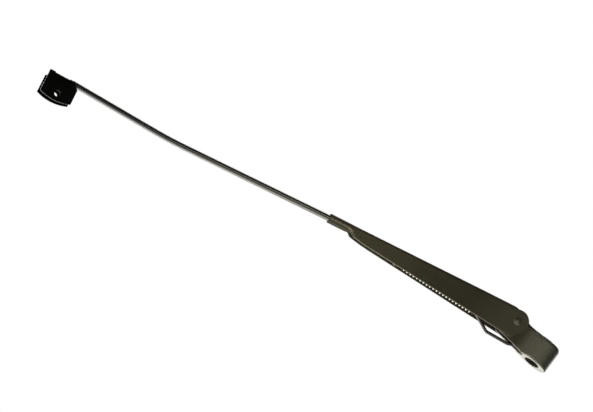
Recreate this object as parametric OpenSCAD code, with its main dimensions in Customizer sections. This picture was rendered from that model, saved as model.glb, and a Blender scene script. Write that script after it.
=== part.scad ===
// Windscreen wiper arm: cast head, sprung channel, bent rod and saddle bracket.
// Head frame: origin at the centre of the spindle bore's mouth, +Z along the spindle
// away from the glass, +X towards the blade. The arm's own frame starts at the hinge.

/* [Head] */
// Height of the head above its underside
head_h = 22; // [20:0.5:26]
// Radius of the boss round the spindle
boss_r = 8.8; // [8.2:0.1:10]
// Distance from the spindle axis to the tip of the nose
nose_reach = 13.2; // [11:0.1:15]
// Straight length of the boss behind the spindle axis
boss_back = 3.2; // [1:0.1:5]
// Radius of the boss's upper edge
boss_round = 3.5; // [1:0.1:5]
// Bevel round the boss's lower edge
boss_bevel = 0.8; // [0.2:0.1:1.5]
// Width of the neck between the channel's flanges
neck_w = 9.4; // [8:0.1:11]
// Width of the hollow under the neck
slot_w = 4.4; // [3.6:0.1:5]
// Length of the neck from the spindle axis
neck_reach = 41; // [39:0.5:44]
// Radius of the hollow curve from the boss to the neck
waist_r = 8; // [5:0.5:9]
// Rise of the neck's lower edge at its end
neck_rise = 2.2; // [0:0.1:4]
// Radius of the hinge barrel at the end of the neck
barrel_r = 9; // [8:0.1:9.4]

/* [Spindle bore] */
// Diameter of the taper at its mouth
taper_d = 12.2; // [10:0.1:13]
// Diameter of the taper at its inner end
taper_top_d = 10.6; // [9.5:0.1:11.5]
// Depth of the taper
taper_depth = 11; // [8:0.5:13]
// Number of serrations round the taper
serrations = 36; // [24:1:48]
// Depth of a serration
serration_depth = 0.5; // [0.3:0.05:0.8]
// Diameter of the hole for the spindle's thread
stud_d = 8.4; // [8.2:0.1:9]
// Diameter of the nut's spot face
nut_face_d = 13; // [11:0.5:14]
// Depth of the nut's spot face
nut_face_depth = 0.8; // [0.3:0.1:2]

/* [Hinge] */
// Distance from the spindle axis to the hinge
pivot_x = 30.3; // [28:0.1:31]
// Height of the hinge above the head's underside
pivot_z = 16.7; // [15:0.1:17.5]
// Angle by which the relaxed arm falls below the head
arm_droop = 13.8; // [10:0.1:18]
// Diameter of the hinge rivet
rivet_d = 5; // [4:0.1:6]
// Diameter of the rivet's heads
rivet_head_d = 6.6; // [6:0.1:9]
// Height of the rivet's heads
rivet_head_h = 1; // [0.8:0.1:2]
// Outer diameter of the hinge bush
bush_d = 7.6; // [7:0.1:8.5]
// Running clearance round the rivet
run_gap = 0.05; // [0.02:0.01:0.1]
// Clearance between the neck and each flange
side_gap = 0.3; // [0.2:0.05:0.5]

/* [Link and spring] */
// Distance from the spindle axis to the link pin
link_pin_x = 15; // [14.5:0.1:16]
// Height of the link pin
link_pin_z = 8.8; // [8:0.1:9.5]
// Diameter of the link pin
link_pin_d = 4; // [3:0.1:4.5]
// Wire diameter of the link
link_wire_d = 2.7; // [2:0.1:3]
// Length of the link between the centres of its hooks
link_len = 42.7; // [40:0.1:44]
// Depth of the link's bow at its bend near the pin
link_bow = 8.3; // [7.5:0.1:9.5]
// Further depth of the bow at its other bend
link_bow_more = 0.9; // [0:0.1:1.5]
// Distance from the pin to the start of the link's straight part
link_bend_a = 11.3; // [10:0.1:13]
// Distance from the pin to the end of the link's straight part
link_bend_b = 31.2; // [29:0.1:34]
// Wire diameter of the spring
spring_wire_d = 1.8; // [1.4:0.1:2]
// Mean diameter of the spring's coil
spring_d = 5.4; // [4.8:0.1:5.6]
// Number of turns in the spring
spring_turns = 21.5; // [15.5:1:22.5]
// Play between a hook and what it holds
hook_play = 0.06; // [0.03:0.01:0.15]

/* [Channel] */
// Thickness of the folded sheet
sheet = 1.4; // [1:0.1:1.6]
// Height of the channel's back above the hinge
web_top = 10.6; // [10:0.1:12]
// Distance from the hinge to the end of the channel's back
web_start = 6; // [4:0.1:8]
// Radius of the rounded ears at the hinge
ear_r = 9.6; // [9.5:0.1:10.4]
// Outer radius of the channel's folds
fold_r = 2.2; // [1.8:0.1:3]
// Length of the channel's parallel part in front of the hinge
parallel_len = 40; // [30:1:50]
// Distance from the hinge to the end of the straight taper
taper_end = 144; // [132:1:146]
// Outer width of the channel where the straight taper ends
taper_end_w = 8.8; // [8.4:0.1:9.6]
// Height of the flange edge at the hinge, below the hinge's axis
flange_drop = 13.9; // [12:0.1:14.5]
// Height of the flange edge where the straight taper ends
flange_end_z = 0.3; // [-1:0.1:2]
// Distance by which the middle of a flange starts to roll later than its edge
roll_lag = 7; // [0:0.5:9]
// Distance from the hinge to the start of the ferrule
ferrule_start = 155; // [152:0.5:158]
// Length of the ferrule
ferrule_len = 17.3; // [12:1:22]
// Height of the ferrule's axis above the hinge
ferrule_z = 7.3; // [6.5:0.1:8]
// Angle of the ferrule's seam below the near side
seam_angle = 54; // [40:1:70]

/* [Rod] */
// Diameter of the rod
rod_d = 5; // [4:0.1:6]
// Angle by which the rod falls away from the channel
rod_fall = 0.8; // [0.2:0.05:2]
// Straight length of the rod between the ferrule and its bend
rod_run = 126.7; // [100:0.1:150]
// Angle by which the bracket nods from the rod's end towards the glass
bracket_nod = 1.8; // [0:0.1:4]
// Angle of the rod's outer end above the channel
blade_kick = 3.56; // [1:0.1:6]
// Radius of the rod's bend
bend_r = 370; // [200:10:500]
// Distance from the hinge to the eye that the spring hangs on
anchor_x = 108; // [100:0.1:108]
// Height of the eye above the hinge
anchor_z = 0.7; // [0:0.1:1.5]
// Diameter of the hole in the eye
eye_hole_d = 3.2; // [2.6:0.1:4]
// Outer diameter of the eye
eye_d = 7.6; // [6.5:0.1:8.5]
// Thickness of the rod's flattened inner end
eye_t = 2.6; // [2:0.1:3]
// Thickness of the rod's flattened outer end
tongue_t = 2; // [1.8:0.1:2.6]
// Width of the rod's flattened outer end
tongue_w = 7.6; // [6:0.1:7.8]

/* [Blade bracket] */
// Distance from the rod's bend to the rear edge of the bracket
bracket_rear = 82.5; // [70:0.5:95]
// Length of the bracket
bracket_len = 26.2; // [24:0.1:30]
// Outer width of the bracket
bracket_w = 12; // [10.6:0.1:13]
// Height of the bracket's back above the rod's axis
bracket_top = 0.6; // [0.2:0.1:1.5]
// Depth of the rear corner below the rod's axis
bracket_rear_z = 17; // [15:0.1:20]
// Depth of the front corner below the rod's axis
bracket_front_z = 17.7; // [16:0.1:21]
// Sag of the round lower edge
bracket_sag = 2.5; // [1:0.1:4]
// Distance from the rear edge to the pin hole
pin_hole_x = 13; // [10:0.1:15]
// Depth of the pin hole below the rod's axis
pin_hole_z = 14; // [12:0.1:15]
// Diameter of the pin hole
pin_hole_d = 4.8; // [4.5:0.1:6]
// Length of the free rear corner behind the bracket's back
rear_horn = 8.7; // [7:0.1:10]
// Length of the free front corner in front of the bracket's back
front_horn = 4.9; // [3:0.1:7]
// Height by which the free corners stand above the back
horn_rise = 0.1; // [0:0.1:1]
// Drop of the far wall's cut front corner
far_cut = 3.6; // [2:0.1:6]
// Diameter of the bracket rivets
small_rivet_d = 3.2; // [2.5:0.1:4]

/* [Hidden] */
$fn = 64;
cut = 1;

BLACK = [0.17, 0.17, 0.14];
GLOSS = [0.05, 0.05, 0.05];
STEEL = [0.72, 0.72, 0.7];
ZINC = [0.5, 0.5, 0.46];

channel_w = neck_w + 2 * side_gap + 2 * sheet;
boss_front = nose_reach - boss_r;
rod_r = rod_d / 2;
wire_r = link_wire_d / 2;
coil_wire_r = spring_wire_d / 2;
coil_r = spring_d / 2;
ferrule_r = rod_r + sheet;
ferrule_end = ferrule_start + ferrule_len;

// The spring's line runs from the link pin in the head to the eye on the rod.
eye_x = pivot_x + anchor_x * cos(arm_droop) + anchor_z * sin(arm_droop);
eye_z = pivot_z - anchor_x * sin(arm_droop) + anchor_z * cos(arm_droop);
pull_len = norm([eye_x - link_pin_x, eye_z - link_pin_z]);
pull_angle = atan2(eye_z - link_pin_z, eye_x - link_pin_x);

// Flat outline helpers
function arc(c, r, a0, a1, n) =
    [for (i = [0 : n]) c + r * [cos(a0 + (a1 - a0) * i / n), sin(a0 + (a1 - a0) * i / n)]];
function unit(v) = v / norm(v);
function angle_of(v) = atan2(v[1], v[0]);
// A corner's points when it is rounded with radius r
function corner(p, q, s, r, n) =
    let (
        a = unit(p - q),
        b = unit(s - q),
        half = acos(a * b) / 2,
        centre = q + unit(a + b) * r / sin(half),
        from = angle_of(q + a * r / tan(half) - centre),
        to = angle_of(q + b * r / tan(half) - centre),
        turn = (to - from) - 360 * round((to - from) / 360)
    )
    arc(centre, r, from, from + turn, n);
// A closed outline from points that each carry their own radius
function rounded(pts, n = 6) =
    let (m = len(pts))
    [for (i = [0 : m - 1])
        let (
            p = pts[(i + m - 1) % m],
            q = pts[i],
            s = pts[(i + 1) % m]
        )
        each q[2] > 0
            ? corner([p[0], p[1]], [q[0], q[1]], [s[0], s[1]], q[2], n)
            : [[q[0], q[1]]]];

function mirrored_y(pts) = [for (i = [len(pts) - 1 : -1 : 0]) [pts[i][0], -pts[i][1]]];

// Wire swept along a path, with a frame carried from ring to ring
function tangent(path, i) =
    unit(path[min(i + 1, len(path) - 1)] - path[max(i - 1, 0)]);
function carry(normal, t) = unit(normal - (normal * t) * t);
function wire_points(path, r, sides, first) =
    let (
        m = len(path),
        normals = [for (i = 0, v = carry(first, tangent(path, 0));
            i < m;
            i = i + 1, v = carry(v, tangent(path, min(i, m - 1)))) v]
    )
    [for (i = [0 : m - 1])
        let (t = tangent(path, i), u = normals[i], w = cross(t, u))
        for (k = [0 : sides - 1])
            path[i] + r * (cos(360 * k / sides) * u + sin(360 * k / sides) * w)];
module wire(path, r, sides, first) {
    m = len(path);
    polyhedron(
        points = wire_points(path, r, sides, first),
        faces = [
            [for (k = [0 : sides - 1]) k],
            for (i = [0 : m - 2])
                for (k = [0 : sides - 1])
                    let (a = i * sides + k, b = i * sides + (k + 1) % sides)
                    each [[a, a + sides, b], [b, a + sides, b + sides]],
            [for (k = [sides - 1 : -1 : 0]) (m - 1) * sides + k]
        ]
    );
}

// Frames: the arm hangs from the hinge, the blade end kicks up from the rod's bend,
// and the pull frame has its X along the spring from the link pin
module arm_frame() {
    translate([pivot_x, 0, pivot_z])
        rotate([0, arm_droop, 0])
            children();
}
module blade_frame() {
    arm_frame()
        translate([bend_corner[0], 0, bend_corner[1]])
            rotate([0, -blade_kick, 0])
                children();
}
// The rod's flat end and the bracket nod a little from the rod's line
module bracket_frame() {
    blade_frame()
        translate([tongue_start, 0, 0])
            rotate([0, bracket_nod, 0])
                translate([-tongue_start, 0, 0])
                    children();
}
module pull_frame() {
    translate([link_pin_x, 0, link_pin_z])
        rotate([0, -pull_angle, 0])
            children();
}
// A plate cut from an outline in X and Z, centred on Y
module plate(t) {
    rotate([90, 0, 0])
        linear_extrude(height = t, center = true)
            children();
}
module cross_pin(p, r, l) {
    translate([p[0], 0, p[1]])
        rotate([90, 0, 0])
            cylinder(r = r, h = l, center = true);
}

// Head
module boss_profile() {
    difference() {
        union() {
            translate([0, boss_bevel])
                square([boss_r, head_h - boss_round - boss_bevel]);
            square([boss_r - boss_bevel, head_h]);
            translate([boss_r - boss_round, head_h - boss_round])
                circle(r = boss_round);
            polygon([[0, 0], [boss_r - boss_bevel, 0], [boss_r, boss_bevel], [0, boss_bevel]]);
        }
        translate([boss_r - boss_round, head_h - boss_round])
            difference() {
                square([boss_round + cut, boss_round + cut]);
                circle(r = boss_round);
            }
        translate([-2 * boss_r, -cut])
            square([2 * boss_r, head_h + 2 * cut]);
    }
}
module boss() {
    for (x = [-boss_front, boss_back])
        translate([x, 0, 0])
            rotate_extrude()
                boss_profile();
    translate([-boss_front, 0, 0])
        boss_bar(boss_front + boss_back);
}
module boss_bar(l) {
    rotate([90, 0, 90])
        linear_extrude(height = l)
            union() {
                boss_profile();
                mirror([1, 0])
                    boss_profile();
            }
}
// The boss narrows to the neck in a hollow curve on each side
module waist() {
    side = neck_w / 2 + waist_r;
    reach = sqrt(pow(boss_r + waist_r, 2) - side * side);
    bite = 0.2;
    start = atan2(side, reach);
    lip = [boss_back, 0] + (boss_r - bite) * [cos(start), sin(start)];
    curve = arc([boss_back + reach, side], waist_r, 180 + start, 270, 9);
    half = concat([lip], [for (i = [1 : len(curve) - 1]) curve[i]]);
    intersection() {
        linear_extrude(height = head_h)
            polygon(concat(half, mirrored_y(half)));
        translate([-boss_front, 0, 0])
            boss_bar(boss_front + boss_back + 2 * boss_r);
    }
}
module neck_outline() {
    polygon(rounded([
        [0, 0, 0],
        [boss_back + boss_r, 0, 0],
        [neck_reach, neck_rise, 4],
        [pivot_x + barrel_r * cos(10), pivot_z + barrel_r * sin(10), 0],
        [pivot_x, pivot_z, 0],
        [pivot_x - barrel_r * sin(20), pivot_z + barrel_r * cos(20), 0],
        [pivot_x - barrel_r, head_h, 4],
        [0, head_h, 0]
    ]));
    translate([pivot_x, pivot_z])
        circle(r = barrel_r);
}
// The hollow is open below and in front; its roof ends on the hinge bush
module hollow_outline() {
    play = 0.4;
    hook_r = link_pin_d / 2 + link_wire_d + play;
    left = link_pin_x - hook_r;
    roof = link_pin_z + hook_r;
    far = neck_reach + barrel_r;
    polygon(rounded([
        [left, -cut, 0],
        [far, -cut, 0],
        [far, pivot_z + (far - pivot_x) * tan(32), 0],
        [pivot_x, pivot_z, 0],
        [pivot_x - bush_d / 2, roof, 0],
        [left, roof, 3]
    ]));
}
module serration() {
    half = serration_depth;
    lean = atan((taper_d - taper_top_d) / 2 / taper_depth);
    translate([taper_d / 2, 0, 0])
        rotate([0, -lean, 0])
            translate([0, 0, -cut])
                linear_extrude(height = taper_depth + cut)
                    polygon([[-cut, -half], [-cut, half], [0, half], [serration_depth, 0], [0, -half]]);
}
module spindle_bore() {
    translate([0, 0, -cut])
        cylinder(r = stud_d / 2, h = head_h + 2 * cut);
    cylinder(r1 = taper_d / 2, r2 = taper_top_d / 2, h = taper_depth);
    translate([0, 0, -cut])
        cylinder(r = taper_d / 2, h = cut + 0.01);
    for (i = [0 : serrations - 1])
        rotate([0, 0, 360 * i / serrations])
            serration();
    translate([0, 0, head_h - nut_face_depth])
        cylinder(r = nut_face_d / 2, h = nut_face_depth + cut);
}
module spindle_head() {
    color(BLACK)
        difference() {
            union() {
                boss();
                waist();
                plate(neck_w)
                    neck_outline();
            }
            plate(slot_w)
                hollow_outline();
            spindle_bore();
            cross_pin([pivot_x, pivot_z], bush_d / 2, neck_w + cut);
            cross_pin([link_pin_x, link_pin_z], link_pin_d / 2, neck_w + cut);
        }
}

// Hinge
module pivot_bush() {
    color(STEEL)
        difference() {
            cross_pin([pivot_x, pivot_z], bush_d / 2, neck_w);
            cross_pin([pivot_x, pivot_z], rivet_d / 2 + run_gap, neck_w + cut);
        }
}
// One head: a shallow dome on the +Y side
module rivet_head(d, h) {
    sphere_r = (d * d / 4 + h * h) / (2 * h);
    rotate([-90, 0, 0])
        intersection() {
            translate([0, 0, h - sphere_r])
                sphere(r = sphere_r);
            cylinder(r = d / 2, h = h);
        }
}
module pivot_rivet() {
    color(BLACK)
        translate([pivot_x, 0, pivot_z]) {
            rotate([90, 0, 0])
                cylinder(r = rivet_d / 2, h = channel_w, center = true);
            for (side = [0, 180])
                rotate([0, 0, side])
                    translate([0, channel_w / 2, 0])
                        rivet_head(rivet_head_d, rivet_head_h);
        }
}
module link_pin() {
    color(ZINC)
        cross_pin([link_pin_x, link_pin_z], link_pin_d / 2, neck_w);
}

// Link: a bowed wire with a hook at each end, drawn in the pull frame
function link_path() =
    let (
        pin_hook = link_pin_d / 2 + wire_r + hook_play,
        end_hook = coil_wire_r + wire_r + hook_play,
        a = [link_bend_a, -link_bow],
        b = [link_bend_b, -link_bow - link_bow_more],
        e = [link_len, 0],
        leave = angle_of(a) - acos(pin_hook / norm(a)),
        meet = angle_of(b - e) + acos(end_hook / norm(b - e)),
        p = pin_hook * [cos(leave), sin(leave)],
        q = e + end_hook * [cos(meet), sin(meet)]
    )
    concat(
        arc([0, 0], pin_hook, 35 - 360, leave, 16),
        corner(p, a, b, 4, 6),
        corner(a, b, q, 4, 6),
        arc(e, end_hook, meet, meet + 205, 14)
    );
module spring_link() {
    color(ZINC)
        pull_frame()
            wire([for (p = link_path()) [p[0], 0, p[1]]], wire_r, 10, [0, 1, 0]);
}

// Spring: close coil with a flat ring at each end
coil_start = link_len + spring_d + spring_wire_d / 4;
coil_end = pull_len - spring_d - spring_wire_d / 4;
function coil_point(turn) =
    [coil_start + (coil_end - coil_start) * turn / spring_turns,
        coil_r * cos(360 * turn),
        coil_r * sin(360 * turn)];
function ring_point(centre, side, a) =
    [centre - side * coil_r * cos(a), coil_r * sin(a), 0];
function spring_path() =
    let (
        steps = 13,
        near = link_len + coil_r,
        far = pull_len - coil_r,
        last = cos(360 * spring_turns)
    )
    concat(
        [for (a = [-140 : 20 : 100]) ring_point(near, 1, a)],
        [[coil_start - coil_r * 0.55, coil_r, 0.05]],
        [for (i = [1 : floor(spring_turns * steps) - 1]) coil_point(i / steps)],
        [[coil_end + coil_r * 0.55, coil_r * last, -0.05 * last]],
        [for (a = [100 : -20 : -140]) ring_point(far, -1, a * last)]
    );
module tension_spring() {
    color(STEEL)
        pull_frame()
            wire(spring_path(), coil_wire_r, 7, [0, 0, 1]);
}

// Channel: one sheet whose section turns from a U into the rolled ferrule
flange_n = 7;
fold_n = 5;
function flange_z(x) = -flange_drop + (flange_end_z + flange_drop) * x / taper_end;
function half_w(x) =
    x < parallel_len
        ? channel_w / 2
        : channel_w / 2 + (taper_end_w - channel_w) / 2
            * (x - parallel_len) / (taper_end - parallel_len);
// Half of the U from the flange's edge to the middle of the back
function u_half(w, r, low, top) =
    concat(
        [for (i = [0 : flange_n - 1]) [w, low + (top - r - low) * i / flange_n]],
        arc([w - r, top - r], r, 0, 90, fold_n),
        [[(w - r) / 2, top]]
    );
function mirrored(pts) = [for (i = [len(pts) - 1 : -1 : 0]) [-pts[i][0], pts[i][1]]];
function u_curve(x, inset) =
    let (
        half = u_half(half_w(x) - inset, fold_r - inset, flange_z(x), web_top - inset)
    )
    concat(half, [[0, web_top - inset]], mirrored(half));
// The ferrule's curve has the same number of points, from seam to seam
seam_gap = 2;
function ring_curve(inset) =
    let (
        m = flange_n + fold_n + 2,
        r = ferrule_r - inset,
        near = 90 + seam_angle - seam_gap,
        far = 270 - seam_angle - seam_gap,
        spots = concat(
            [for (i = [0 : m]) 90 - near * (1 - i / m)],
            [for (i = [1 : m]) 90 + far * i / m]
        )
    )
    [for (a = spots) [r * cos(a), ferrule_z + r * sin(a)]];
// The flange's edge rolls first, and the rest of the sheet follows it
function lag(i, n) = roll_lag * min(min(i, n - 1 - i) / (flange_n / 2), 1);
function roll(x, late) =
    let (t = min(max((x - taper_end - late) / (ferrule_start - taper_end), 0), 1))
    0.6 * t + 0.4 * t * t * (3 - 2 * t);
function sheet_curve(x, inset) =
    let (
        u = u_curve(min(x, taper_end + roll_lag), inset),
        ring = ring_curve(inset),
        n = len(u)
    )
    [for (i = [0 : n - 1])
        let (t = roll(x, lag(i, n)))
        u[i] * (1 - t) + ring[i] * t];
stations = concat(
    [-ear_r - cut, parallel_len],
    [for (i = [0 : 10]) taper_end + (ferrule_start + roll_lag - taper_end) * i / 10],
    [ferrule_end]
);
module folded_sheet() {
    outer = [for (x = stations) sheet_curve(x, 0)];
    inner = [for (x = stations) sheet_curve(x, sheet)];
    n = len(outer[0]);
    ring = 2 * n;
    last = len(stations) - 1;
    points = [for (s = [0 : last])
        each concat(
            [for (p = outer[s]) [stations[s], p[0], p[1]]],
            [for (i = [n - 1 : -1 : 0]) [stations[s], inner[s][i][0], inner[s][i][1]]]
        )];
    polyhedron(
        points = points,
        faces = [
            for (i = [0 : n - 2])
                each [[i, i + 1, ring - 2 - i], [i, ring - 2 - i, ring - 1 - i]],
            for (s = [0 : last - 1])
                for (k = [0 : ring - 1])
                    let (a = s * ring + k, b = s * ring + (k + 1) % ring)
                    each [[a, a + ring, b], [b, a + ring, b + ring]],
            for (i = [0 : n - 2])
                let (a = last * ring + i, b = last * ring + ring - 1 - i)
                each [[a + 1, a, b - 1], [b - 1, a, b]]
        ]
    );
}
// The ear is round at the top, and its lower end runs down to the flange's corner
module ear_outline() {
    reach = ferrule_end + cut;
    heel = [0.5, flange_z(0) - 0.2];
    clear_x = 20;
    dip = [2.4, ear_r - 0.3];
    polygon(concat(
        arc([0, 0], ear_r, 82, 205, 22),
        corner(ear_r * unit([cos(205), sin(205)]), heel, [clear_x, heel[1] + 1.2], 2, 5),
        [
            [clear_x, -2 * ear_r],
            [reach, -2 * ear_r],
            [reach, web_top + cut],
            [web_start, web_top + cut],
            [web_start, web_top - 0.15],
            dip
        ]
    ));
}
module arm_channel() {
    color(BLACK)
        arm_frame()
            difference() {
                intersection() {
                    folded_sheet();
                    plate(2 * channel_w)
                        ear_outline();
                }
                translate([-2 * ear_r, -channel_w / 2 + sheet, web_top - fold_r - cut])
                    cube([2 * ear_r + web_start, channel_w - 2 * sheet, fold_r + 2 * cut]);
                cross_pin([0, 0], rivet_d / 2, 2 * channel_w);
            }
}

// Rod
mouth_bend_r = 60;
bend_turn = rod_fall + blade_kick;
bend_leg = bend_r * tan(bend_turn / 2);
// The rod's line: a small set at the ferrule's mouth, a straight run, then the bend
rod_along = [cos(rod_fall), -sin(rod_fall)];
rod_set = [ferrule_end, ferrule_z] + mouth_bend_r * [sin(rod_fall), cos(rod_fall) - 1];
bend_start = rod_set + rod_run * rod_along;
bend_corner = bend_start + bend_leg * rod_along;
tongue_start = bracket_rear + rear_horn - 4;
function blade_point(x) =
    bend_corner + x * [cos(blade_kick), sin(blade_kick)];
rod_start = ferrule_start + roll_lag;
module rod_shank() {
    centre = bend_start + bend_r * [sin(rod_fall), cos(rod_fall)];
    path = concat(
        [[rod_start, ferrule_z], [ferrule_end, ferrule_z], rod_set],
        arc(centre, bend_r, -90 - rod_fall, -90 + blade_kick, 6),
        [blade_point(tongue_start)]
    );
    wire([for (p = path) [p[0], 0, p[1]]], rod_r, 24, [0, 1, 0]);
}
module eye_plate() {
    root_x = rod_start + 3;
    eye_neck = eye_d * 0.42;
    plate(eye_t)
        difference() {
            union() {
                translate([anchor_x, anchor_z])
                    circle(r = eye_d / 2);
                polygon([
                    [anchor_x + eye_neck * sin(12), anchor_z - eye_neck * cos(12)],
                    [root_x, ferrule_z - eye_neck / 2],
                    [root_x, ferrule_z + eye_neck / 2],
                    [rod_start - 22, ferrule_z + eye_neck / 2],
                    [anchor_x - eye_neck * sin(12), anchor_z + eye_neck * cos(12)]
                ]);
            }
            translate([anchor_x, anchor_z])
                circle(r = eye_hole_d / 2);
        }
}
// The outer end is beaten flat under the bracket's back
tongue_top = bracket_top - sheet;
tongue_end = bracket_rear + bracket_len - front_horn - 0.5;
function small_rivet_x(i) =
    tongue_start + 5.5 + i * (tongue_end - tongue_start - 9);
module tongue() {
    slice = 0.1;
    swell = 3.5;
    hull() {
        translate([tongue_start - slice, 0, 0])
            rotate([0, 90, 0])
                cylinder(r = rod_r + 0.06, h = slice, $fn = 32);
        translate([tongue_start + swell, -tongue_w / 2, tongue_top - tongue_t])
            cube([slice, tongue_w, tongue_t]);
    }
    translate([tongue_start + swell, 0, tongue_top - tongue_t])
        linear_extrude(height = tongue_t)
            union() {
                translate([0, -tongue_w / 2])
                    square([tongue_end - tongue_start - swell - tongue_w / 2, tongue_w]);
                translate([tongue_end - tongue_start - swell - tongue_w / 2, 0])
                    circle(r = tongue_w / 2);
            }
}
module wiper_rod() {
    color(GLOSS) {
        arm_frame() {
            rod_shank();
            eye_plate();
        }
        bracket_frame()
            difference() {
                tongue();
                for (i = [0, 1])
                    translate([small_rivet_x(i), 0, tongue_top - tongue_t - cut])
                        cylinder(r = small_rivet_d / 2, h = tongue_t + 2 * cut);
            }
    }
}

// Blade bracket: two walls joined by a back that leaves both ends of the walls free
module wall_outline(front_drop) {
    rear = bracket_rear;
    front = bracket_rear + bracket_len;
    back_a = rear + rear_horn;
    back_b = front - front_horn;
    free = bracket_top + horn_rise;
    under = bracket_top - fold_r;
    chord = [front - rear, bracket_rear_z - bracket_front_z];
    arc_r = (chord * chord / 4 + bracket_sag * bracket_sag) / (2 * bracket_sag);
    middle = [(front + rear) / 2, -(bracket_rear_z + bracket_front_z) / 2];
    up = unit([-chord[1], chord[0]]);
    centre = middle + up * (arc_r - bracket_sag);
    from = angle_of([rear, -bracket_rear_z] - centre);
    to = angle_of([front, -bracket_front_z] - centre);
    difference() {
        polygon(concat(
            arc(centre, arc_r, from, to, 16),
            front_drop > 0
                ? [[front, free - front_drop], [back_b, free - 1]]
                : [[front, free]],
            [
                [back_b, front_drop > 0 ? under : free],
                [back_b, under],
                [back_a, under],
                [back_a, free],
                [back_a - 3.4, free],
                [rear + 2, -rod_r],
                [rear, -rod_r - 2]
            ]
        ));
        translate([rear + pin_hole_x, -pin_hole_z])
            circle(r = pin_hole_d / 2);
    }
}
// Half of the back's section: the fold and the flat, in Y and Z
module back_half() {
    w = bracket_w / 2;
    r = fold_r;
    polygon(concat(
        arc([w - r, bracket_top - r], r, 0, 90, 8),
        [[0, bracket_top], [0, bracket_top - sheet]],
        arc([w - r, bracket_top - r], r - sheet, 90, 0, 8)
    ));
}
module blade_bracket() {
    front = bracket_rear + bracket_len;
    back_a = bracket_rear + rear_horn;
    back_b = front - front_horn;
    color(GLOSS)
        bracket_frame()
            difference() {
                union() {
                    translate([0, (bracket_w - sheet) / 2, 0])
                        plate(sheet)
                            wall_outline(0);
                    translate([0, -(bracket_w - sheet) / 2, 0])
                        plate(sheet)
                            wall_outline(far_cut);
                    translate([back_a, 0, 0])
                        rotate([90, 0, 90])
                            linear_extrude(height = back_b - back_a)
                                union() {
                                    back_half();
                                    mirror([1, 0])
                                        back_half();
                                }
                }
                for (i = [0, 1])
                    translate([small_rivet_x(i), 0, 0])
                        cylinder(r = small_rivet_d / 2, h = 2 * sheet + 2 * cut, center = true);
            }
}
module bracket_rivets() {
    head_h_small = 0.7;
    grip = sheet + tongue_t;
    color(GLOSS)
        bracket_frame()
            for (i = [0, 1])
                translate([small_rivet_x(i), 0, bracket_top - grip]) {
                    cylinder(r = small_rivet_d / 2, h = grip);
                    translate([0, 0, grip])
                        cylinder(r1 = small_rivet_d * 0.8, r2 = small_rivet_d * 0.55, h = head_h_small);
                    translate([0, 0, -head_h_small])
                        cylinder(r1 = small_rivet_d * 0.55, r2 = small_rivet_d * 0.8, h = head_h_small);
                }
}

spindle_head();
pivot_bush();
pivot_rivet();
link_pin();
spring_link();
tension_spring();
arm_channel();
wiper_rod();
blade_bracket();
bracket_rivets();
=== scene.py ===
# %% [markdown]
# # A windscreen wiper arm, seen from its side
# The arm has a cast head that clamps on a spindle, a folded steel channel with a spring
# inside, a black rod, and a small folded bracket that holds the blade. The CAD model
# gives every size and place. Here the pieces are shaped again with rounder edges and
# smoother curves, and then get their paint and bare metal.

# %% Load the CAD frame
import math
import bmesh
import bpy
from mathutils import Matrix, Quaternion, Vector


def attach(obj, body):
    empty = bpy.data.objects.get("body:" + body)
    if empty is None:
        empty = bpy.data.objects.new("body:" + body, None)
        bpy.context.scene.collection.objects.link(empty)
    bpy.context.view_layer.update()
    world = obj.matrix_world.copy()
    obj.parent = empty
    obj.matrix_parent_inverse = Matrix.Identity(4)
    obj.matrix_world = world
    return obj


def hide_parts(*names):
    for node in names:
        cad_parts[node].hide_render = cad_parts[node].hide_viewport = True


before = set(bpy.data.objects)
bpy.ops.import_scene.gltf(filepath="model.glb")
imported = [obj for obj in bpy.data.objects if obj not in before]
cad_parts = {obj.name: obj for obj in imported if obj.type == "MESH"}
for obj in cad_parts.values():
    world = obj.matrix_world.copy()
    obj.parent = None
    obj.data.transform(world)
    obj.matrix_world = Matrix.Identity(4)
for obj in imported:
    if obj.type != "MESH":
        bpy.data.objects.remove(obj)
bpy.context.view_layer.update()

# %% [markdown]
# ## Camera
# The photograph looks along the hinge from a little below the arm, and the camera is
# rolled so that the arm runs across the frame from corner to corner. A near camera would
# spread the bracket's two walls apart. So this one stands far away with a long lens, as
# for a catalogue, and both walls look alike.

# %% Camera
AIM = Vector((0.2257, 0.0, -0.0270))
AZIMUTH, ELEVATION, ROLL = 171.13, -15.71, 37.94
DISTANCE = 3.198
SENSOR_MM = 36
FOCAL_PIXELS, FRAME_PIXELS = 4089.4, 593
azimuth, elevation = math.radians(AZIMUTH), math.radians(ELEVATION)
away = Vector((
    math.sin(azimuth) * math.cos(elevation),
    -math.cos(azimuth) * math.cos(elevation),
    math.sin(elevation),
))
lens = bpy.data.cameras.new("long_lens")
lens.sensor_width = SENSOR_MM
lens.lens = SENSOR_MM * FOCAL_PIXELS / FRAME_PIXELS
lens.clip_start, lens.clip_end = 0.1, 30
camera = bpy.data.objects.new("camera", lens)
camera.rotation_mode = "QUATERNION"
camera.location = AIM + DISTANCE * away
camera.rotation_quaternion = (
    (-away).to_track_quat("-Z", "Y") @ Quaternion((0, 0, 1), math.radians(ROLL))
)
scene = bpy.context.scene
scene.collection.objects.link(camera)
scene.camera = camera
print("camera", [round(v, 3) for v in camera.location], "lens", round(lens.lens, 1))

# %% [markdown]
# ## Floor, room and lamps
# The object floats on white paper in the photograph. To the camera everything round it is
# white. As a light, the room is white paper below the arm and a dim room above it. A room
# that is white all round would be simpler, but it would turn the flat black sides grey.

# %% Helpers for nodes
def shader(material):
    """Turns a material's nodes on, and gives its tree and its main shader."""
    material.use_nodes = True
    tree = material.node_tree
    return tree, tree.nodes["Principled BSDF"]


def add(tree, kind, **settings):
    node = tree.nodes.new(kind)
    for key, value in settings.items():
        setattr(node, key, value)
    return node


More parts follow.
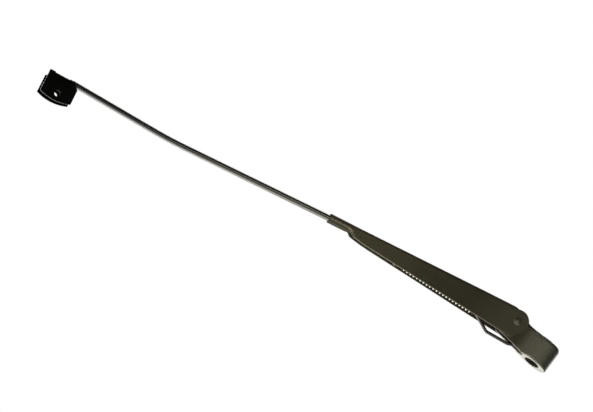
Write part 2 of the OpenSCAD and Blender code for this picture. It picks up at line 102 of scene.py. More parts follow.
def feed(tree, socket, end):
    """Links another socket into this one, or sets this one when the end is a value."""
    if isinstance(end, bpy.types.NodeSocket):
        tree.links.new(end, socket)
    else:
        socket.default_value = end


def maths(tree, operation, first, second=0.0, **settings):
    node = add(tree, "ShaderNodeMath", operation=operation, **settings)
    feed(tree, node.inputs[0], first)
    feed(tree, node.inputs[1], second)
    return node.outputs[0]


def apart(tree, vector):
    """A vector's X, Y and Z, each as a socket."""
    node = add(tree, "ShaderNodeSeparateXYZ")
    tree.links.new(vector, node.inputs[0])
    return node.outputs


def ramp(tree, value, start, end, low=0.0, high=1.0, kind="LINEAR"):
    """Goes from low to high as the value goes from start to end."""
    node = add(tree, "ShaderNodeMapRange", interpolation_type=kind)
    for name, number in (
        ("Value", value), ("From Min", start), ("From Max", end),
        ("To Min", low), ("To Max", high),
    ):
        feed(tree, node.inputs[name], number)
    return node.outputs["Result"]


def mix_shaders(tree, share, first, second):
    node = add(tree, "ShaderNodeMixShader")
    for socket, end in zip(node.inputs, (share, first, second)):
        tree.links.new(end, socket)
    return node.outputs[0]


# %% Floor
FLOOR_Z = -1.15
PAPER_GLOW = 0.75
bm = bmesh.new()
bmesh.ops.create_grid(
    bm, x_segments=2, y_segments=2, size=6, matrix=Matrix.Translation((0, 0, FLOOR_Z))
)
floor_mesh = bpy.data.meshes.new("floor")
bm.to_mesh(floor_mesh)
bm.free()
floor = bpy.data.objects.new("floor", floor_mesh)
scene.collection.objects.link(floor)
paper = bpy.data.materials.new("pale_paper")
tree, surface = shader(paper)
surface.inputs["Roughness"].default_value = 0.8
surface.inputs["Base Color"].default_value = (0.80, 0.80, 0.78, 1)
rays = add(tree, "ShaderNodeLightPath").outputs
seen = maths(tree, "MAXIMUM", rays["Is Camera Ray"], rays["Is Glossy Ray"])
share = maths(tree, "MULTIPLY", seen, PAPER_GLOW)
glow = add(tree, "ShaderNodeEmission")
glow.inputs["Strength"].default_value = 1.0
tree.links.new(
    mix_shaders(tree, share, surface.outputs[0], glow.outputs[0]),
    tree.nodes["Material Output"].inputs["Surface"],
)
floor_mesh.materials.append(paper)
print("floor at", FLOOR_Z, "m")

# %% World
WARM = (1.0, 0.97, 0.86)
PAPER_ENDS, ROOM_STARTS = -0.35, 0.12
PAPER_LIGHT, ROOM_LIGHT = 0.80, 0.10
scene.view_settings.view_transform = "Standard"
world = bpy.data.worlds.new("white_room")
scene.world = world
world.use_nodes = True
tree = world.node_tree
tree.nodes.clear()
white = add(tree, "ShaderNodeBackground")
white.inputs["Color"].default_value = (1, 1, 1, 1)
white.inputs["Strength"].default_value = 1.0
room = add(tree, "ShaderNodeBackground")
room.inputs["Color"].default_value = (*WARM, 1)
height = apart(tree, add(tree, "ShaderNodeTexCoord").outputs["Generated"])["Z"]
strength = ramp(
    tree, height, PAPER_ENDS, ROOM_STARTS, PAPER_LIGHT, ROOM_LIGHT, "SMOOTHSTEP"
)
tree.links.new(strength, room.inputs["Strength"])
rays = add(tree, "ShaderNodeLightPath").outputs
seen = maths(tree, "MAXIMUM", rays["Is Camera Ray"], rays["Is Transmission Ray"])
tree.links.new(
    mix_shaders(tree, seen, room.outputs[0], white.outputs[0]),
    add(tree, "ShaderNodeOutputWorld").inputs["Surface"],
)
print("world", world.name, "lights at", PAPER_LIGHT, "below and", ROOM_LIGHT, "above")

# %% [markdown]
# ## What each lamp is for
# The panel near the camera lights the flat sides, and the one over the back the upper
# edges. The light table under the arm draws the bright band along the rod. A glossy round
# edge mirrors what lies behind it, so two more panels stand behind the arm: one low, for
# the band's outer half, and one past the head, for the boss's round end.

# %% Lamps
PALE = (1.0, 0.98, 0.92)


def soft_lamp(name, place, size, watts, tint=(1, 1, 1)):
    """A square panel that faces the middle of the arm."""
    light = bpy.data.lights.new(name, "AREA")
    light.shape = "SQUARE"
    light.size = size
    light.energy = watts
    light.color = tint
    lamp = bpy.data.objects.new(name, light)
    lamp.location = place
    lamp.rotation_mode = "QUATERNION"
    lamp.rotation_quaternion = (AIM - Vector(place)).to_track_quat("-Z", "Y")
    lamp.visible_camera = False
    scene.collection.objects.link(lamp)
    return lamp


soft_lamp("panel_near_the_camera", (-0.196, 2.316, 0.473), 0.5, 5.7, WARM)
soft_lamp("panel_over_the_back", (0.3, -0.8, 1.6), 0.8, 8)
soft_lamp("panel_under_the_back", (0.2, -0.8, -0.8), 0.7, 9, PALE)
soft_lamp("panel_past_the_head", (-0.9, -0.72, 0.33), 0.6, 4.5)
light_table = soft_lamp("light_table", (0.2, 0.05, -0.8), 1.2, 24, PALE)
light_table.rotation_quaternion = Quaternion((1, 0, 0), math.pi)

# %% [markdown]
# ## Places on the arm
# The head lies square in the CAD frame. The channel hangs from the hinge at a slant, and
# the blade end is bent back up a little. Every point could be worked out in the frame,
# but the slants would then be in every number. So each of these places is a matrix, and
# a piece is drawn in its own easy coordinates in millimetres before it goes there.

# %% Sizes and places
MM = 0.001
HINGE = Vector((30.3, 0, 16.7))
LINK_PIN = Vector((15, 0, 8.8))
EYE = Vector((108, 0, 0.7))
BEND_END = Vector((313.909, 0, 5.328))
FLAT_START = 87.2
ARM_DROOP, BLADE_KICK, BRACKET_NOD = 13.8, 3.56, 1.8


def turned(degrees):
    """A turn about the hinge's direction. A positive one lowers the blade."""
    return Matrix.Rotation(math.radians(degrees), 4, "Y")


METRES = Matrix.Scale(MM, 4)
ARM = METRES @ Matrix.Translation(HINGE) @ turned(ARM_DROOP)
BLADE = ARM @ Matrix.Translation(BEND_END) @ turned(-BLADE_KICK)
BRACKET = (
    BLADE
    @ Matrix.Translation((FLAT_START, 0, 0))
    @ turned(BRACKET_NOD)
    @ Matrix.Translation((-FLAT_START, 0, 0))
)
pull = (ARM @ EYE) / MM - LINK_PIN
PULL = (
    METRES
    @ Matrix.Translation(LINK_PIN)
    @ Matrix.Rotation(-math.atan2(pull.z, pull.x), 4, "Y")
)
print("spring line", round(pull.length, 2), "mm long")

# %% [markdown]
# ## Helpers for pieces
# Most pieces end the same way: recalculate the normals, put the mesh in place, shade it
# smooth up to a sharp angle, give it its finish and fix it to the body that carries it.
# The place goes into the mesh. If it went into the object, a pattern on Object
# coordinates would have another scale on each piece.

# %% Make and finish a piece
def new_object(bm, name):
    mesh = bpy.data.meshes.new(name)
    bm.to_mesh(mesh)
    bm.free()
    piece = bpy.data.objects.new(name, mesh)
    scene.collection.objects.link(piece)
    return piece


def dress(piece, body, finish, stands_for, sharp):
    """Shades a piece, gives it its finish and fixes it to the body that carries it."""
    mesh = piece.data
    mesh.shade_smooth()
    mesh.set_sharp_from_angle(angle=math.radians(sharp))
    mesh.materials.append(finish)
    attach(piece, body)
    if stands_for:
        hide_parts(*stands_for)
    print(piece.name, len(mesh.polygons), "faces on the", body)
    return piece


def finish_piece(bm, name, place, body, finish, stands_for=(), sharp=35):
    bmesh.ops.recalc_face_normals(bm, faces=bm.faces)
    piece = new_object(bm, name)
    piece.data.transform(place)
    return dress(piece, body, finish, stands_for, sharp)


def soften(piece, name, width, segments, sharp=30):
    """A bevel on the edges that are sharper than the angle."""
    edge = piece.modifiers.new(name, "BEVEL")
    edge.width = width * MM
    edge.segments = segments
    edge.limit_method = "ANGLE"
    edge.angle_limit = math.radians(sharp)
    return edge


# %% Arcs and round corners
def arc(centre, radius, start, end, steps):
    """Points in the X and Z plane, from one angle to another in degrees."""
    angles = [math.radians(start + (end - start) * i / steps) for i in range(steps + 1)]
    return [
        Vector((centre[0] + radius * math.cos(a), 0, centre[1] + radius * math.sin(a)))
        for a in angles
    ]


def round_corner(before, corner, after, radius, steps):
    """The arc that rounds a corner of a path in the X and Z plane."""
    a = (before - corner).normalized()
    b = (after - corner).normalized()
    half = a.angle(b) / 2
    middle = corner + (a + b).normalized() * radius / math.sin(half)
    first = corner + a * radius / math.tan(half) - middle
    last = corner + b * radius / math.tan(half) - middle
    start = math.degrees(math.atan2(first.z, first.x))
    turn = math.degrees(math.atan2(last.z, last.x)) - start
    turn -= 360 * round(turn / 360)
    return arc((middle.x, middle.z), radius, start, start + turn, steps)


# %% Sweep a wire along its line
def edges_of(verts):
    """The edges at these points, each once and always in the same order."""
    return list(dict.fromkeys(e for v in verts for e in v.link_edges))


def grow(bm, edges):
    """Extrudes a row of edges, and gives the new row's points and edges."""
    grown = bmesh.ops.extrude_edge_only(bm, edges=edges)["geom"]
    verts = [g for g in grown if isinstance(g, bmesh.types.BMVert)]
    fresh = set(verts)
    return verts, [
        g for g in grown
        if isinstance(g, bmesh.types.BMEdge) and fresh.issuperset(g.verts)
    ]


def sweep(bm, path, radius, sides):
    """Drags a circle along a path: a step extrudes the ring, turns it and moves it."""
    heading = (path[1] - path[0]).normalized()
    facing = heading.to_track_quat("Z", "Y").to_matrix().to_4x4()
    start = Matrix.Translation(path[0]) @ facing
    verts = bmesh.ops.create_circle(
        bm, cap_ends=True, segments=sides, radius=radius, matrix=start
    )["verts"]
    edges = edges_of(verts)
    rings = [verts]
    for i in range(1, len(path)):
        verts, edges = grow(bm, edges)
        ahead = (path[min(i + 1, len(path) - 1)] - path[i - 1]).normalized()
        turn = heading.rotation_difference(ahead)
        bmesh.ops.rotate(bm, verts=verts, cent=path[i - 1], matrix=turn.to_matrix())
        bmesh.ops.translate(bm, verts=verts, vec=path[i] - path[i - 1])
        heading = ahead
        rings.append(verts)
    bmesh.ops.contextual_create(bm, geom=edges)
    return rings


# %% [markdown]
# ## Paint and metal
# A wiper arm is dipped or sprayed in black. Up close the coat is slightly grainy, its
# gloss is cloudy, and dust lies in its scuffs. Painted images could hold all this, but
# they would need a layout for each piece. Noise on Object coordinates needs none, and as
# node groups the grain and the scuffs are built once and each finish sets its numbers.

# %% Node group: grain of a sprayed coat
def new_group(name, inputs, outputs):
    group = bpy.data.node_groups.new(name, "ShaderNodeTree")
    for label, kind, value in inputs:
        socket = group.interface.new_socket(label, in_out="INPUT", socket_type=kind)
        if value is not None:
            socket.default_value = value
    for label, kind in outputs:
        group.interface.new_socket(label, in_out="OUTPUT", socket_type=kind)
    return group, group.nodes.new("NodeGroupInput"), group.nodes.new("NodeGroupOutput")


coat_grain, given, result = new_group(
    "coat_grain",
    [("Place", "NodeSocketVector", None), ("Scale", "NodeSocketFloat", 1800.0)],
    [("Height", "NodeSocketFloat"), ("Cloud", "NodeSocketFloat")],
)
fine = add(coat_grain, "ShaderNodeTexNoise")
fine.inputs["Detail"].default_value = 3
fine.inputs["Roughness"].default_value = 0.6
coat_grain.links.new(given.outputs["Place"], fine.inputs["Vector"])
coat_grain.links.new(given.outputs["Scale"], fine.inputs["Scale"])
coat_grain.links.new(fine.outputs["Fac"], result.inputs["Height"])
wide = add(coat_grain, "ShaderNodeTexNoise")
wide.inputs["Scale"].default_value = 70
wide.inputs["Detail"].default_value = 4
coat_grain.links.new(given.outputs["Place"], wide.inputs["Vector"])
coat_grain.links.new(wide.outputs["Fac"], result.inputs["Cloud"])
print(coat_grain.name, "has", len(coat_grain.nodes), "nodes")

# %% Node group: scuffs and dust
SCUFF_SCALE = (120, 600, 1400)
SCUFF_STARTS, SCUFF_DEEP = 0.56, 0.74
scuffs, given, result = new_group(
    "scuffs_and_dust",
    [("Place", "NodeSocketVector", None), ("Amount", "NodeSocketFloat", 0.5)],
    [("Mask", "NodeSocketFloat")],
)
stretched = add(scuffs, "ShaderNodeMapping")
stretched.inputs["Scale"].default_value = SCUFF_SCALE
scratch = add(scuffs, "ShaderNodeTexNoise")
scratch.inputs["Scale"].default_value = 1
scratch.inputs["Detail"].default_value = 5
scuffs.links.new(given.outputs["Place"], stretched.inputs["Vector"])
scuffs.links.new(stretched.outputs["Vector"], scratch.inputs["Vector"])
deep = ramp(scuffs, scratch.outputs["Fac"], SCUFF_STARTS, SCUFF_DEEP)
scaled = maths(scuffs, "MULTIPLY", deep, given.outputs["Amount"])
scuffs.links.new(scaled, result.inputs["Mask"])
print(scuffs.name, "has", len(scuffs.nodes), "nodes")

# %% Node group: a soft step along X
soft_step, given, result = new_group(
    "soft_step",
    [("Place", "NodeSocketVector", None), ("From", "NodeSocketFloat", 0.0),
     ("To", "NodeSocketFloat", 1.0)],
    [("Mask", "NodeSocketFloat")],
)
along = apart(soft_step, given.outputs["Place"])["X"]
step = ramp(
    soft_step, along, given.outputs["From"], given.outputs["To"], kind="SMOOTHSTEP"
)
soft_step.links.new(step, result.inputs["Mask"])
print("node groups", [g.name for g in bpy.data.node_groups])


# %% Helpers for finishes
def use_group(tree, group, place, **values):
    node = add(tree, "ShaderNodeGroup", node_tree=group)
    tree.links.new(place, node.inputs["Place"])
    for key, value in values.items():
        node.inputs[key].default_value = value
    return node


def blend(tree, mask, low, high, kind="FLOAT"):
    """Goes from low to high with the mask. Either end is a value or a socket."""
    node = add(tree, "ShaderNodeMix", data_type=kind)
    for name, end in (("A", low), ("B", high)):
        feed(tree, node.inputs[name], (*end, 1) if isinstance(end, tuple) else end)
    tree.links.new(mask, node.inputs["Factor"])
    return node.outputs["Result"]


def object_place(tree):
    return add(tree, "ShaderNodeTexCoord").outputs["Object"]


def shade_along(tree, place, paint, start, end, colour):
    """Turns the paint into another colour from one X to the next, in metres."""
    mask = use_group(tree, soft_step, place, From=start, To=end).outputs["Mask"]
    return blend(tree, mask, paint, colour, "RGBA")


def source(surface, name):
    """The socket that now feeds one of the surface's inputs."""
    return surface.inputs[name].links[0].from_socket


# %% Make a worn, a coated and a bare finish
GRAIN_DEPTH = 0.00005
METAL_GRAIN = 3000.0


def worn(name, colour, dusty, rough, grain, scuffed):
    """Its colour gathers dust in the scuffs, and its gloss is cloudy."""
    material = bpy.data.materials.new(name)
    tree, surface = shader(material)
    place = object_place(tree)
    coat = use_group(tree, coat_grain, place, Scale=grain)
    marks = use_group(tree, scuffs, place, Amount=scuffed)
    tint = blend(tree, marks.outputs["Mask"], colour, dusty, "RGBA")
    tree.links.new(tint, surface.inputs["Base Color"])
    gloss = blend(tree, coat.outputs["Cloud"], *rough)
    tree.links.new(gloss, surface.inputs["Roughness"])
    return material, coat


def coated(name, colour, dusty, rough, grain, bump, scuffed, specular):
    """A sprayed coat, with its grain as a slight relief."""
    material, coat = worn(name, colour, dusty, rough, grain, scuffed)
    tree, surface = shader(material)
    relief = add(tree, "ShaderNodeBump")
    relief.inputs["Strength"].default_value = bump
    relief.inputs["Distance"].default_value = GRAIN_DEPTH
    tree.links.new(coat.outputs["Height"], relief.inputs["Height"])
    tree.links.new(relief.outputs["Normal"], surface.inputs["Normal"])
    surface.inputs["Specular IOR Level"].default_value = specular
    return material


def bare_metal(name, colour, dull, rough, scuffed):
    material, _ = worn(name, colour, dull, rough, METAL_GRAIN, scuffed)
    shader(material)[1].inputs["Metallic"].default_value = 1.0
    return material


# %% Plain finishes
OLIVE, DUST = (0.0245, 0.0222, 0.0100), (0.075, 0.068, 0.045)
bracket_black = coated(
    "bracket_black", (0.0006, 0.0006, 0.0006), (0.004, 0.004, 0.004),
    rough=(0.30, 0.40), grain=1800.0, bump=0.05, scuffed=0.2, specular=0.03,
)
wire_black = coated(
    "wire_black", (0.014, 0.013, 0.009), (0.05, 0.048, 0.04),
    rough=(0.30, 0.44), grain=1800.0, bump=0.06, scuffed=0.3, specular=0.30,
)
rivet_black = coated(
    "rivet_black", (0.050, 0.046, 0.028), DUST,
    rough=(0.38, 0.50), grain=2600.0, bump=0.10, scuffed=0.3, specular=0.25,
)
tree, surface = shader(rivet_black)
surface.inputs["Coat Weight"].default_value = 1
surface.inputs["Coat Roughness"].default_value = 0.05
spring_steel = bare_metal(
    "spring_steel", (0.30, 0.295, 0.265), (0.12, 0.118, 0.105),
    rough=(0.34, 0.50), scuffed=0.6,
)
dark_zinc = bare_metal(
    "dark_zinc", (0.16, 0.155, 0.14), (0.08, 0.077, 0.07),
    rough=(0.35, 0.5), scuffed=0.5,
)
print("plain finishes", [m.name for m in bpy.data.materials])

# %% [markdown]
# ## Finishes that change along a piece
# The rod has a painted highlight near the channel and is clean black at the blade. The
# channel is lighter towards its ends, and the head has a painted highlight on the boss
# and painted shade at its round end. Vertex colours could hold this too, but a soft step
# on X needs no extra points. Only the painted highlights and painted shade along the
# channel's folds and edges come from the mesh, as an attribute that the channel's cell
# writes.

# %% The rod's gloss
ROD_PAINTED_HIGHLIGHT = (0.026, 0.022, 0.011)
rod_gloss = coated(
    "rod_gloss", (0.002, 0.0019, 0.0014), (0.008, 0.008, 0.007),
    rough=(0.18, 0.28), grain=1500.0, bump=0.03, scuffed=0.25, specular=0.2,
)
tree, surface = shader(rod_gloss)
surface.inputs["Coat Weight"].default_value = 1
surface.inputs["Coat Roughness"].default_value = 0.10
surface.inputs["Coat IOR"].default_value = 1.38
paint = source(surface, "Base Color")
# Painted highlight: the base colour is lighter near the channel and turns clean black
# towards the blade.
paint = shade_along(tree, object_place(tree), paint, 0.37, 0.20, ROD_PAINTED_HIGHLIGHT)
tree.links.new(paint, surface.inputs["Base Color"])
print(rod_gloss.name, "is dusty up to X = 200 mm")

# %% The channel's coat, with painted highlights and painted shade along its folds and edges
FERRULE_PAINT, EAR_PAINT = (0.052, 0.047, 0.025), (0.047, 0.043, 0.026)
PAINTED_HIGHLIGHT_COLOUR, PAINTED_SHADE_COLOUR = (0.24, 0.222, 0.160), (0.020, 0.018, 0.010)
channel_black = coated(
    "channel_black", OLIVE, DUST,
    rough=(0.38, 0.58), grain=2600.0, bump=0.40, scuffed=0.35, specular=0.2,
)
tree, surface = shader(channel_black)
place = object_place(tree)
paint = source(surface, "Base Color")
paint = shade_along(tree, place, paint, 0.085, 0.165, FERRULE_PAINT)
paint = shade_along(tree, place, paint, 0.075, 0.035, EAR_PAINT)
# The attribute holds painted light: a painted highlight above 0 and painted shade below
# 0. The shade's mask also makes the coat rough.
mark = add(tree, "ShaderNodeAttribute", attribute_name="painted_light").outputs["Fac"]
painted_highlight_mask = maths(tree, "MULTIPLY", mark, 1, use_clamp=True)
dull = maths(tree, "MULTIPLY", mark, -1, use_clamp=True)
paint = blend(tree, painted_highlight_mask, paint, PAINTED_HIGHLIGHT_COLOUR, "RGBA")
paint = blend(tree, dull, paint, PAINTED_SHADE_COLOUR, "RGBA")
tree.links.new(paint, surface.inputs["Base Color"])
gloss = blend(tree, painted_highlight_mask, source(surface, "Roughness"), 0.30)
tree.links.new(blend(tree, dull, gloss, 0.95), surface.inputs["Roughness"])
print(channel_black.name, "reads the marks called sheen")

# %% The casting's coat, with a painted highlight on the boss, and bare metal where it was machined
BOSS_PAINTED_HIGHLIGHT, BOSS_END_PAINTED_SHADE = (0.108, 0.105, 0.078), (0.048, 0.0465, 0.034)
BARE_FOOT, BORE_METAL_AND_PAINTED_SHADE = (0.315, 0.311, 0.281), (0.136, 0.134, 0.120)
BORE_R, FOOT_END, FOOT_TOP = 0.0067, 0.0118, 0.00008
cast_black = coated(
    "cast_black", OLIVE, DUST,
    rough=(0.36, 0.52), grain=2200.0, bump=0.35, scuffed=0.4, specular=0.25,
)
tree, surface = shader(cast_black)
place = object_place(tree)
paint = source(surface, "Base Color")
# Painted highlight on the boss's side, and painted shade towards its round end.
paint = shade_along(tree, place, paint, 0.021, 0.009, BOSS_PAINTED_HIGHLIGHT)
paint = shade_along(tree, place, paint, 0.001, -0.009, BOSS_END_PAINTED_SHADE)
where = apart(tree, place)
flat = add(tree, "ShaderNodeCombineXYZ")
tree.links.new(where["X"], flat.inputs["X"])
tree.links.new(where["Y"], flat.inputs["Y"])
from_axis = add(tree, "ShaderNodeVectorMath", operation="LENGTH")
tree.links.new(flat.outputs[0], from_axis.inputs[0])
in_bore = maths(tree, "LESS_THAN", from_axis.outputs["Value"], BORE_R)
on_foot = maths(
    tree, "MULTIPLY",
    maths(tree, "LESS_THAN", where["X"], FOOT_END),
    maths(tree, "LESS_THAN", where["Z"], FOOT_TOP),
)
paint = blend(tree, on_foot, paint, BARE_FOOT, "RGBA")
# The bore is bare metal, and it also carries painted shade: it is darker than the foot,
# as shade inside the hole.
paint = blend(tree, in_bore, paint, BORE_METAL_AND_PAINTED_SHADE, "RGBA")
tree.links.new(paint, surface.inputs["Base Color"])
tree.links.new(maths(tree, "MAXIMUM", in_bore, on_foot), surface.inputs["Metallic"])
print(cast_black.name, "is bare on the foot and in the bore")

# %% The bracket's cut edges, with a painted highlight on its near wall
CUT_SIDE_HIGHLIGHT, CUT_FRONT_HIGHLIGHT = (0.05, 0.052, 0.052), (0.80, 0.82, 0.82)
WALL_NORMAL, NEAR_WALL_Y = 0.8, 0.002
FRONT_START, FRONT_END = 0.437, 0.439
tree, surface = shader(bracket_black)
about = add(tree, "ShaderNodeTexCoord")
facing = apart(tree, about.outputs["Normal"])
where = apart(tree, about.outputs["Object"])
sideways = maths(tree, "ABSOLUTE", facing["Y"])
cut_face = maths(tree, "LESS_THAN", sideways, WALL_NORMAL)
near_wall = maths(tree, "GREATER_THAN", where["Y"], NEAR_WALL_Y)
near_cut = maths(tree, "MULTIPLY", cut_face, near_wall)
facing_front = ramp(tree, facing["X"], 0.3, 0.8)
at_front = ramp(tree, where["X"], FRONT_START, FRONT_END)
front_cut = maths(tree, "MULTIPLY", facing_front, at_front)
# Painted highlight: the cut edges of the near wall are lighter, nearly white at the front
# end.
edge_highlight = blend(tree, front_cut, CUT_SIDE_HIGHLIGHT, CUT_FRONT_HIGHLIGHT, "RGBA")
paint = blend(tree, near_cut, source(surface, "Base Color"), edge_highlight, "RGBA")
tree.links.new(paint, surface.inputs["Base Color"])
print("finishes", [m.name for m in bpy.data.materials])

# %% [markdown]
# ## Pieces that keep the CAD's form
# The bush, the pin and the rivet are turned and pressed pieces. They could be spun again
# from a profile, but their form is already right in the CAD. So a copy of each is merged
# into whole faces, and only its edges lose their sharpness. The pin is also trimmed, so
# that its ends stay under the casting's skin.

# %% Rounded copies of CAD nodes
def merged_copy(node):
    """A CAD node's mesh, with the corners of its loose triangles joined."""
    bm = bmesh.new()
    bm.from_mesh(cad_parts[node].data)
    bmesh.ops.remove_doubles(bm, verts=bm.verts, dist=0.002 * MM)
    return bm


def rounded_copy(node, name, body, finish, width):
    bm = merged_copy(node)
    bmesh.ops.dissolve_limit(
        bm, angle_limit=math.radians(1), verts=bm.verts, edges=bm.edges
    )
    piece = dress(new_object(bm, name), body, finish, [node], 30)
    soften(piece, "soft_edges", width, 2).harden_normals = True
    return piece


PIN_TRIM = 0.84
bush = rounded_copy("pivot_bush", "hinge_bush", "head", dark_zinc, 0.15)
cross = rounded_copy("link_pin", "neck_pin", "head", dark_zinc, 0.1)
cross.data.transform(Matrix.Diagonal((1, PIN_TRIM, 1, 1)))
rivet = rounded_copy("pivot_rivet", "hinge_rivet", "arm", rivet_black, 0.15)

# %% [markdown]
# ## The cast head
# The head is die cast, so every edge and every hollow corner is round. A bevel can't
# follow edges that run into each other as these do. So the bore is filled for a moment,
# the whole solid is measured again on a fine grid of cubes, and that skin is smoothed.
# The machined bore is then cut again, so its serrations stay crisp.

# %% Fill the bore and the pin's holes, and add spare metal under the foot
HEAD_H = 22.0
FOOT_SPARE = 2.0
PLUG_R = 6.95
PIN_PLUG_R, PIN_PLUG_Y = 2.3, 4.25
bm = merged_copy("spindle_head")
foot = [
    f for f in bm.faces if f.normal.z < -0.9 and f.calc_center_median().z < 0.01 * MM
]
grown = bmesh.ops.extrude_face_region(bm, geom=foot)["geom"]
bmesh.ops.translate(
    bm, verts=[g for g in grown if isinstance(g, bmesh.types.BMVert)],
    vec=(0, 0, -FOOT_SPARE * MM),
)
bmesh.ops.create_cone(
    bm, cap_ends=True, segments=48, radius1=PLUG_R * MM, radius2=PLUG_R * MM,
    depth=(HEAD_H + FOOT_SPARE - 0.2) * MM,
    matrix=Matrix.Translation((0, 0, (HEAD_H - FOOT_SPARE) / 2 * MM)),
)
for side in (1, -1):
    pin_end = Vector((LINK_PIN.x, side * PIN_PLUG_Y, LINK_PIN.z)) * MM
    bmesh.ops.create_cone(
        bm, cap_ends=True, segments=32, radius1=PIN_PLUG_R * MM,
        radius2=PIN_PLUG_R * MM, depth=0.9 * MM,
        matrix=Matrix.Translation(pin_end) @ Matrix.Rotation(math.pi / 2, 4, "X"),
    )
blank = new_object(bm, "head_blank")
print("foot", len(foot), "faces, moved down", FOOT_SPARE, "mm")


# %% Grid the casting and smooth its skin
def settled(piece):
    """The piece's mesh with its modifiers applied."""
    graph = bpy.context.evaluated_depsgraph_get()
    mesh = bpy.data.meshes.new_from_object(piece.evaluated_get(graph))
    bpy.data.objects.remove(piece)
    return mesh


def relax(bm, verts, rounds, upright=True):
    for _ in range(rounds):
        bmesh.ops.smooth_vert(
            bm, verts=verts, factor=0.5,
            use_axis_x=True, use_axis_y=True, use_axis_z=upright,
        )


GRID = 0.3
WAIST_START, WAIST_END, WAIST_Y = 9, 20, 3.2
SHOULDER_Z = 15.5
grid = blank.modifiers.new("grid", "REMESH")
grid.mode = "VOXEL"
grid.voxel_size = GRID * MM
bm = bmesh.new()
bm.from_mesh(settled(blank))
relax(bm, bm.verts, 7)
waist = [
    v for v in bm.verts
    if WAIST_START * MM < v.co.x < WAIST_END * MM and abs(v.co.y) > WAIST_Y * MM
]
relax(bm, waist, 50, upright=False)
for first in (1, 3, 5, 7):
    shoulder = [
        v for v in bm.verts
        if first * MM < v.co.x < WAIST_END * MM and v.co.z > SHOULDER_Z * MM
    ]
    relax(bm, shoulder, 16)
print("casting", len(bm.faces), "faces, waist", len(waist), "points")
casting = new_object(bm, "casting")

# %% Cut the foot and the bore: a serrated taper, the stud's hole and the nut's seat
TEETH, TOOTH = 36, 0.5
TAPER_R, TAPER_TOP_R, TAPER_DEPTH = 6.1, 5.3, 11.0
STUD_R, SEAT_R, SEAT_Z = 4.2, 6.5, 21.2
PAST_FOOT = 16
levels = (
    (-4.0, PAST_FOOT, 0), (0.0, PAST_FOOT, 0),
    (0.0, TAPER_R, TOOTH), (TAPER_DEPTH, TAPER_TOP_R, TOOTH),
    (TAPER_DEPTH, STUD_R, 0), (SEAT_Z, STUD_R, 0),
    (SEAT_Z, SEAT_R, 0), (HEAD_H + 1, SEAT_R, 0),
)
bm = bmesh.new()
ring = bmesh.ops.create_circle(bm, cap_ends=True, segments=2 * TEETH, radius=1)["verts"]
edges = edges_of(ring)
for number, (z, radius, tooth) in enumerate(levels):
    if number:
        ring, edges = grow(bm, edges)
    for vert in ring:
        step = round(math.atan2(vert.co.y, vert.co.x) / (math.pi / TEETH))
        angle = step * math.pi / TEETH
        reach = (radius + tooth * (step % 2 == 0)) * MM
        vert.co = (reach * math.cos(angle), reach * math.sin(angle), z * MM)
bmesh.ops.contextual_create(bm, geom=edges)
bmesh.ops.recalc_face_normals(bm, faces=bm.faces)
cutter = new_object(bm, "bore_cutter")
cut = casting.modifiers.new("bore", "BOOLEAN")
cut.object = cutter
cut.solver = "EXACT"
bm = bmesh.new()
bm.from_mesh(settled(casting))
bpy.data.objects.remove(cutter)
head = finish_piece(
    bm, "cast_head", Matrix.Identity(4), "head", cast_black, ["spindle_head"], 28
)

# %% [markdown]
# ## The folded channel
# The channel is one sheet of steel, folded down on both sides. It is a U at the head and
# is rolled into a round ferrule at the rod. A box and a tube could be joined, but the
# sheet would then have no way to turn from one into the other. So a chain of edges has
# the section's shape, it is extruded from station to station, and each new chain moves
# onto its station's section. The sheet's thickness comes last, from a Solidify modifier.

# %% The U: how wide, how deep, and the ear's round top
SHEET = 1.4
HALF_WIDE, HALF_NARROW = 6.4, 4.4
PARALLEL_LEN, TAPER_END = 40, 144.0
FLANGE_DROP, FLANGE_END_Z = 13.9, 0.3
UPTURN_START, UPTURN = 133, 0.0038
HEEL_BACK, HEEL_FRONT = Vector((-8.70, -4.06)), Vector((0.5, -14.1))
HEEL_ROUND, HEEL_DIP = 1.2, 0.5
EAR_R, STEP_START = 9.6, 2.4
WEB_START, WEB_TOP, FOLD_R = 6.0, 10.6, 2.2


def half_width(x):
    past = max(x - PARALLEL_LEN, 0)
    return HALF_WIDE + (HALF_NARROW - HALF_WIDE) * past / (TAPER_END - PARALLEL_LEN)


def flange_edge(x):
    """The lower edge: one straight taper, and at the hinge a round heel below the ear."""
    taper = -FLANGE_DROP + (FLANGE_END_Z + FLANGE_DROP) * x / TAPER_END
    taper += UPTURN * max(x - UPTURN_START, 0) ** 2
    slope = (HEEL_FRONT.y - HEEL_BACK.y) / (HEEL_FRONT.x - HEEL_BACK.x)
    gap = HEEL_BACK.y + (x - HEEL_BACK.x) * slope - taper
    return taper + (gap + math.sqrt(gap * gap + HEEL_ROUND)) / 2 - HEEL_DIP / (1 + x * x)


def ear_top(x):
    """The ear's round top, and the step from it up to the channel's back."""
    if x > STEP_START:
        low, high = EAR_R - 0.3, WEB_TOP - 0.15
        return low + (high - low) * (x - STEP_START) / (WEB_START - STEP_START)
    return math.sqrt(max(EAR_R ** 2 - x ** 2, 0))


print("flanges", round(-flange_edge(20), 1), "mm deep below the hinge at 20 mm")

# %% Half of the U, from the flange's edge up, over the fold and to the middle
FLANGE_STEPS, FOLD_STEPS, WEB_STEPS, EAR_ROWS = 12, 8, 2, 5
RIM = 0.8


def fold_point(wide, angle):
    y, z = wide - FOLD_R, WEB_TOP - FOLD_R
    return y + FOLD_R * math.cos(angle), z + FOLD_R * math.sin(angle)


